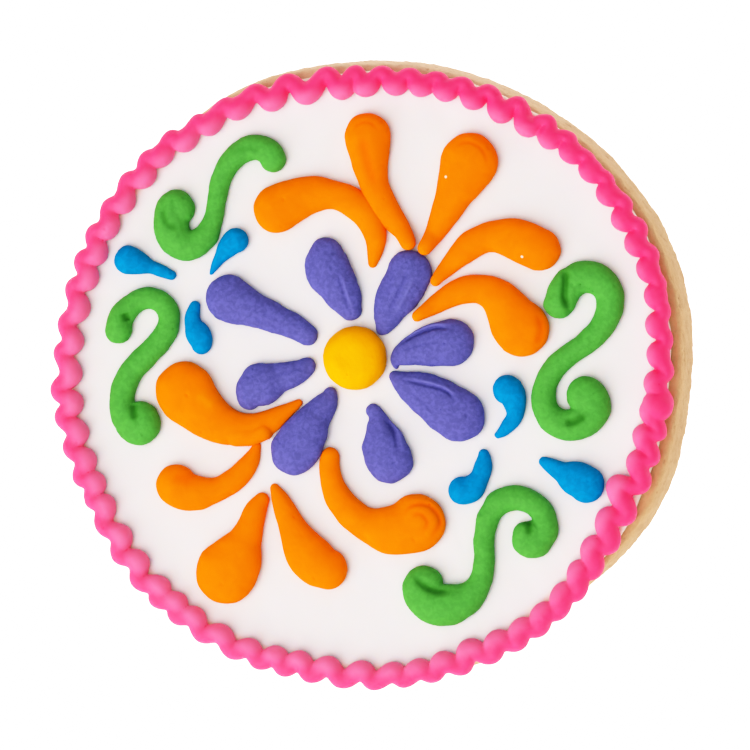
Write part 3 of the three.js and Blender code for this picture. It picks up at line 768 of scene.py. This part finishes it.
def make_border():
    cell = 0.205
    field = Icing((-46.9, -46.6), (46.6, 46.6, Z_TOP + 3.4), cell)
    stations = border_path()
    for a, b in zip(stations, stations[1:] + stations[:1]):
        field.bead(a, b, 0.6)
    # the end of the bead, pressed down over its start
    blob = math.radians(354.2)
    x, y = 41.8 * math.cos(blob), 41.8 * math.sin(blob)
    field.bead((x - 0.1, y + 0.1, 2.1, 2.9, 0.1), (x + 0.1, y - 0.1, 2.1, 2.9, 0.1))
    field.lumps(31, 3.0, SURFACE["pink"][0])
    field.mark([(23.3, 36.4), (24.5, 35.3)], 0.3, 0.5)
    points, quads, tones = finish_icing(field, "pink", 300)
    a = np.arctan2(points[:, 1], points[:, 0])
    inward = (harmonic(REACH_OUT, a) + harmonic(REACH_IN, a)) / 2 - np.hypot(points[:, 0], points[:, 1])
    # left is the side towards the lamps; these tones drive painted light on the border: far for painted shade away from
    # the lamps, near and inner for painted light inside and towards them
    left = 0.5 - 0.5 * np.cos(a - math.radians(40))
    tones["far"] = 1 - left
    tones["near"] = left * np.clip(0.55 + inward / 2.8, 0, 1)
    tones["inner"] = np.clip(0.46 + inward / 3.6 + 0.25 * left, 0, 1) * (0.8 + 0.3 * left)
    return points, quads, tones


points, quads, tones = make_border()
pink = icing_look(
    "icing_pink",
    body=(0.97, 0.08, 0.24),
    painted_crest_light=(0.985, 0.155, 0.335),
    painted_crease_shade=(0.92, 0.014, 0.125),
    # low: painted shade low down and in the deep hollows
    low=(0.96, 0.065, 0.215),
    # inner: painted light on the inner lobes, more on the side towards the lamps
    inner=(0.985, 0.17, 0.355),
    stroke=False,
    rough=(0.5, 0.62),
    specular=0.25,
    blotch=(0.1, 1.6),
    scatter=0.35,
    spread=(2.4, 0.5, 0.6),
)
build("piped_border", points, quads, tones, pink, ["pink_border"])


# ---------------------------------------------------------------- strokes
def line_of(spec, fine=240):
    x, y, heading, length, bends, widths = spec
    t = np.arange(fine + 1) / fine
    bend = linear(bends, t)
    turn = (bend[:-1] + bend[1:]) / 2 * (length / fine)
    angle = math.radians(heading) + np.concatenate([[0], np.cumsum(turn)])
    mid = (angle[:-1] + angle[1:]) / 2
    xs = x + np.concatenate([[0], np.cumsum(np.cos(mid))]) * (length / fine)
    ys = y + np.concatenate([[0], np.cumsum(np.sin(mid))]) * (length / fine)
    return t, xs, ys, angle, np.maximum(smooth(widths, t), 0.25)


def make_stroke(colour, name, spec, seed):
    t, xs, ys, angle, w = line_of(spec)
    flat = FLAT[colour]
    h = flat * BEAD_H_MAX * np.tanh(w / BEAD_H_SLOPE)
    lift = np.zeros(len(t))
    for at, high, over in RISES.get(name, ()):
        lift += high * np.exp(-(((t - at) / over) ** 2))
    m = w.max() + 1.0
    field = Icing((xs.min() - m, ys.min() - m), (xs.max() + m, ys.max() + m, Z_TOP + h.max() + lift.max() + 0.9), 0.15 if colour == "purple" else 0.176)
    step = max(int(0.3 / spec[3] * 240), 1)
    stations = list(zip(xs[::step], ys[::step], w[::step], h[::step], lift[::step]))
    stations.append((xs[-1], ys[-1], w[-1], h[-1], lift[-1]))
    for a, b in zip(stations[:-1], stations[1:]):
        field.bead(a, b)
    ends = FOLDS.get(name, ())
    for a, b in zip(ends[:-1], ends[1:]):
        field.bead((*a, 0.0), (*b, 0.0), 0.12)
    field.lumps(seed, 3.4, SURFACE[colour][0])
    for mark in MARKS.get(name, ()):
        field.mark(*mark)
    points, quads, tones = finish_icing(field, colour, seed)
    # the marks again as a tone, for painted shade in their grooves and a painted highlight on their ridges
    tones["mark"] = np.zeros(len(points))
    for line, depth, width in MARKS.get(name, ()):
        away, along = to_line(points[:, 0], points[:, 1], line)
        fade = np.clip(np.minimum(along, 1 - along) / 0.22, 0.25, 1)
        tones["mark"] += depth * fade * np.exp(-((away / (1.15 * width)) ** 2))
    tones["speck"] = np.zeros(len(points))
    for x, y in SPECKS.get(name, ()):
        tones["speck"] += np.clip(1.5 - np.hypot(points[:, 0] - x, points[:, 1] - y) / 0.2, 0, 1)
    return points, quads, tones


# each: body, painted highlight on crests, painted shade in creases, the low colour for painted shade low down and in
# hollows, then roughness, specular, grain, grain size, blotches, scatter and spread
LOOKS = {
    "orange": icing_look("icing_orange", (0.975, 0.226, 0.0), (0.98, 0.29, 0.0), (0.95, 0.1, 0.0), (0.965, 0.16, 0.0), (0.5, 0.6), 0.02, 0.012, 0.6, (0.09, 3.5)),
    "purple": icing_look("icing_purple", (0.122, 0.132, 0.44), (0.15, 0.165, 0.49), (0.065, 0.068, 0.28), (0.095, 0.1, 0.37), (0.6, 0.75), 0.25, 0.028, 0.4, (0.24, 0.6), 0.05, (0.8, 0.6, 0.9)),
    "blue": icing_look("icing_blue", (0.0, 0.275, 0.6), (0.0, 0.315, 0.66), (0.0, 0.12, 0.36), (0.0, 0.18, 0.46), (0.5, 0.62), 0.03, 0.02, 0.5, (0.18, 0.9), 0.05, (0.5, 0.7, 0.9)),
    "green": icing_look("icing_green", (0.098, 0.41, 0.068), (0.13, 0.48, 0.09), (0.03, 0.19, 0.012), (0.07, 0.33, 0.042), (0.55, 0.7), 0.15, 0.022, 0.4, (0.14, 0.8), 0.05, (0.6, 0.9, 0.5)),
}
for c, colour in enumerate(STROKES):
    for i, (name, spec) in enumerate(STROKES[colour].items()):
        points, quads, tones = make_stroke(colour, name, spec, 1000 + 100 * c + 7 * i)
        build("piped_" + name, points, quads, tones, LOOKS[colour], [colour + "_" + name])


# ---------------------------------------------------------------- centre dome
def make_dome():
    d = CENTRE_DOME
    field = Icing((d["x"] - 5.8, d["y"] - 5.8), (d["x"] + 5.8, d["y"] + 5.8, Z_TOP + 4.2), 0.135)
    turns = 26
    for i in range(turns):
        a, b = (TAU * (i + k) / turns for k in (0, 1))
        field.bead(*((d["x"] + 2.0 * math.cos(s), d["y"] + 2.0 * math.sin(s), d["r"] - 2.0, 2.8, 0.0) for s in (a, b)), blend=0.5)
    field.bead((d["x"] - 0.4, d["y"], 3.4, 3.2, 0.0), (d["x"] + 0.4, d["y"] + 0.1, 3.4, 3.2, 0.0), blend=0.8)
    field.lumps(51, 3.0, SURFACE["yellow"][0])
    field.mark([(d["x"] - 2.2, d["y"] + 0.6), (d["x"] - 1.2, d["y"] - 0.2), (d["x"] - 0.4, d["y"] - 1.2)], 0.1, 0.8)
    return finish_icing(field, "yellow", 510)


points, quads, tones = make_dome()
# body, painted highlight on crests, painted shade in creases and the low colour for painted shade low down, as for the
# strokes
yellow = icing_look("icing_yellow", (0.985, 0.43, 0.0), (0.99, 0.46, 0.002), (0.9, 0.2, 0.0), (0.93, 0.26, 0.0), (0.5, 0.6), 0.02, 0.014, 0.5, (0.04, 3.0), stroke=False)
build("piped_centre", points, quads, tones, yellow, ["yellow_centre"])


# ---------------------------------------------------------------- floor, light and camera
def plain_floor():
    half = 3.0
    mesh = bpy.data.meshes.new("floor")
    mesh.from_pydata([(-half, -half, 0), (half, -half, 0), (half, half, 0), (-half, half, 0)], [], [(0, 1, 2, 3)])
    k = Look("floor_white")
    k.link(k.mix(k.noise(400, 1), (0.29, 0.29, 0.29), (0.31, 0.31, 0.31)), k.p.inputs["Base Color"])
    socket_set(k.p, "Emission Color", (1, 1, 1, 1))
    socket_set(k.p, "Emission Strength", 1.3)
    socket_set(k.p, "Roughness", 0.9)
    socket_set(k.p, "Specular IOR Level", 0.0)
    mesh.materials.append(k.m)
    floor = bpy.data.objects.new("floor", mesh)
    bpy.context.scene.collection.objects.link(floor)
    floor.location.z = -0.0002


plain_floor()


def area_light(name, azimuth, elevation, distance, size, watts, colour=(1, 1, 1)):
    data = bpy.data.lights.new(name, "AREA")
    data.shape = "DISK"
    data.size = size
    data.energy = watts
    data.color = colour
    light = bpy.data.objects.new(name, data)
    a, e = math.radians(azimuth), math.radians(elevation)
    light.location = Vector((math.cos(a) * math.cos(e), math.sin(a) * math.cos(e), math.sin(e))) * distance
    light.rotation_euler = (-light.location).to_track_quat("-Z", "Y").to_euler()
    bpy.context.scene.collection.objects.link(light)


area_light("low", 226, 18, 1.3, 1.5, 6.8)
area_light("key", 226, 45, 1.3, 1.5, 7.3)
area_light("top", 226, 78, 1.3, 1.5, 9.5)

world = bpy.data.worlds.new("studio")
bpy.context.scene.world = world
world.use_nodes = True
world.node_tree.nodes["Background"].inputs["Color"].default_value = (1, 1, 1, 1)
world.node_tree.nodes["Background"].inputs["Strength"].default_value = 0.3


def place_camera():
    """Almost straight down, leaning 12 degrees to the right; the ring's middle lies at pixel 364, 374.2 of 750 x 750"""
    tilt, turn = math.radians(12), math.radians(6)
    back = np.array([math.sin(tilt) * math.cos(turn), math.sin(tilt) * math.sin(turn), math.cos(tilt)])
    up = np.array([0, 1, 0]) - back[1] * back
    up /= np.linalg.norm(up)
    right = np.cross(up, back)
    focal = 200 / 36 * 750
    distance = focal / 7.10
    u, v = (364.0 - 375) / focal, -(374.2 - 375) / focal
    eye = np.array([0, 0, 11.2]) + back * distance - right * u * distance - up * v * distance - CENTRE
    data = bpy.data.cameras.new("camera")
    data.lens = 200
    data.sensor_width = 36
    data.clip_start = 0.01
    data.clip_end = 20
    camera = bpy.data.objects.new("camera", data)
    m = Matrix.Identity(4)
    for i in range(3):
        m[i][0], m[i][1], m[i][2], m[i][3] = right[i], up[i], back[i], eye[i] * MM
    camera.matrix_world = m
    bpy.context.scene.collection.objects.link(camera)
    bpy.context.scene.camera = camera


place_camera()


def film_response():
    """The response of the photograph: soft in the darks, rolling off towards white"""
    view = bpy.context.scene.view_settings
    view.view_transform = "Standard"
    view.use_curve_mapping = True
    mapping = view.curve_mapping
    top = 1.3
    mapping.white_level = (top, top, top)
    for channel, (middle, power) in enumerate(((0.44, 1.5), (0.52, 1.45), (0.52, 1.45))):
        points = mapping.curves[channel].points
        for v in (0.03, 0.07, 0.13, 0.2, 0.3, 0.4, 0.52, 0.65, 0.8, 0.95):
            points.new(v / top, 1 - math.exp(-((v / middle) ** power)))
        points.new(1.13 / top, 1.0)
        for point in points[-2:]:
            point.handle_type = "VECTOR"
    mapping.update()


film_response()
